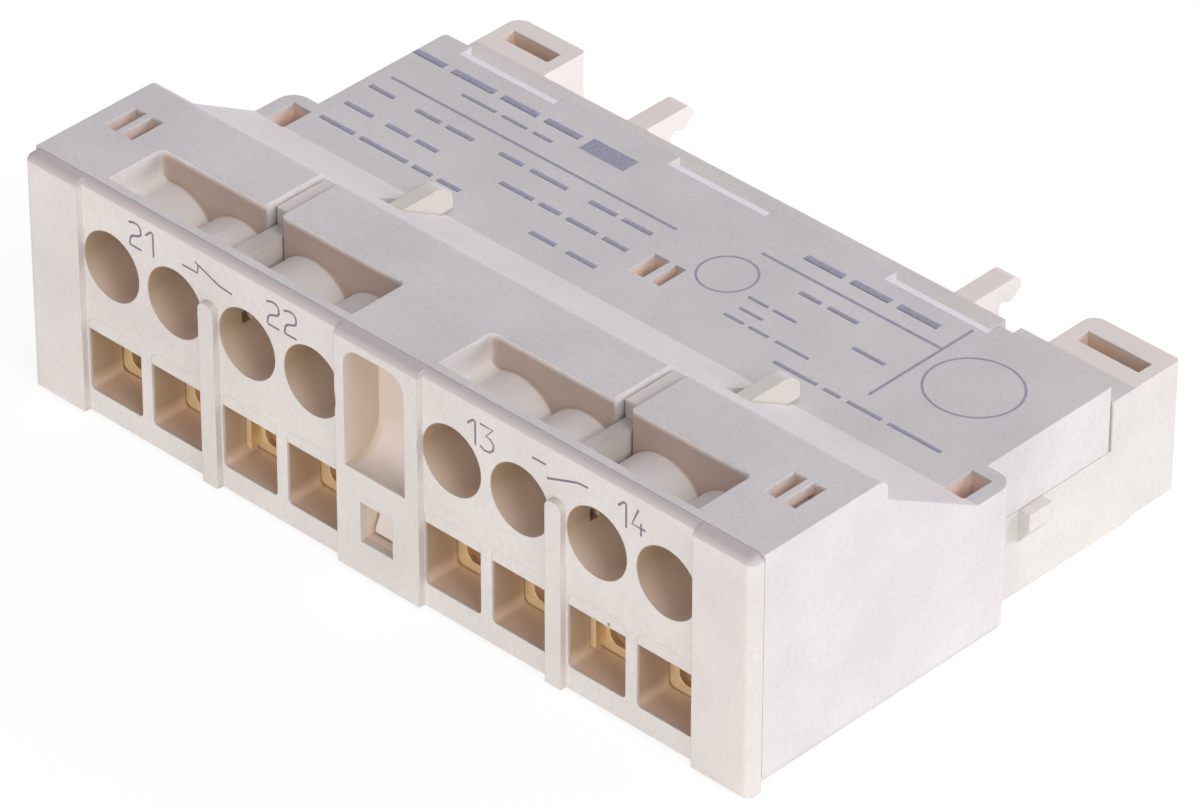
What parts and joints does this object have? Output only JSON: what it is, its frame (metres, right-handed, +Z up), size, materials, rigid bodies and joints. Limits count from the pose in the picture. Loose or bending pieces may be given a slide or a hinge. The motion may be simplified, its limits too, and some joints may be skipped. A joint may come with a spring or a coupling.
{
  "type": "auxiliary contact block",
  "caption": "Flat front-mounting auxiliary contact block with spring clamp terminals, one opening and one closing contact, and rear plungers worked by a motor circuit breaker.",
  "frame": {"origin": "centre of the bounding box, on the flat bottom", "axes": "+X along the terminals from the opening contact to the closing contact, +Y from the terminal face to the rear hooks, +Z up from the bottom"},
  "size_m": [0.0446, 0.0298, 0.0125],
  "materials": {
    "front_plate": "fine grained warm white polyamide",
    "housing": "fine grained warm white polyamide",
    "base": "fine grained warm white polyamide",
    "slider": "smooth grey acetal",
    "clamp_spring": "rolled strip",
    "strip": "stamped strip",
    "bridge": "stamped strip",
    "contact_tip": "silver alloy rivet head",
    "spring": "drawn wire"
  },
  "bodies": {
    "block_body": {"terminal_front_plate": "front_plate", "upper_housing": "housing", "base_housing": "base", "clamp_spring_nc_1": "clamp_spring", "clamp_spring_nc_2": "clamp_spring", "clamp_spring_nc_3": "clamp_spring", "clamp_spring_nc_4": "clamp_spring", "clamp_spring_no_1": "clamp_spring", "clamp_spring_no_2": "clamp_spring", "clamp_spring_no_3": "clamp_spring", "clamp_spring_no_4": "clamp_spring", "terminal_strip_nc_left": "strip", "terminal_strip_nc_right": "strip", "terminal_strip_no_left": "strip", "terminal_strip_no_right": "strip", "fixed_contact_nc_left": "contact_tip", "fixed_contact_nc_right": "contact_tip", "fixed_contact_no_left": "contact_tip", "fixed_contact_no_right": "contact_tip"},
    "nc_slider": {"slider_nc": "slider", "return_spring_nc": "spring", "contact_spring_nc": "spring"},
    "nc_bridge": {"bridge_nc": "bridge", "moving_contact_nc_left": "contact_tip", "moving_contact_nc_right": "contact_tip"},
    "no_slider": {"slider_no": "slider", "return_spring_no": "spring", "contact_spring_no": "spring"},
    "no_bridge": {"bridge_no": "bridge", "moving_contact_no_left": "contact_tip", "moving_contact_no_right": "contact_tip"}
  },
  "joints": [
    {"name": "nc_slider_push", "type": "slide", "parent": "block_body", "child": "nc_slider", "axis": [0, -1, 0], "range_m": [0, 0.0015], "stiffness_N_per_m": 150, "springref_m": -0.002, "deforming": ["return_spring_nc"]},
    {"name": "no_slider_push", "type": "slide", "parent": "block_body", "child": "no_slider", "axis": [0, -1, 0], "range_m": [0, 0.0015], "stiffness_N_per_m": 150, "springref_m": -0.002, "deforming": ["return_spring_no"]},
    {"name": "nc_bridge_overtravel", "type": "slide", "parent": "nc_slider", "child": "nc_bridge", "axis": [0, -1, 0], "range_m": [0, 0.0006], "stiffness_N_per_m": 200, "springref_m": -0.001, "deforming": ["contact_spring_nc"]},
    {"name": "no_bridge_overtravel", "type": "slide", "parent": "no_slider", "child": "no_bridge", "axis": [0, 1, 0], "range_m": [0, 0.0006], "stiffness_N_per_m": 200, "springref_m": -0.001, "deforming": ["contact_spring_no"]}
  ]
}
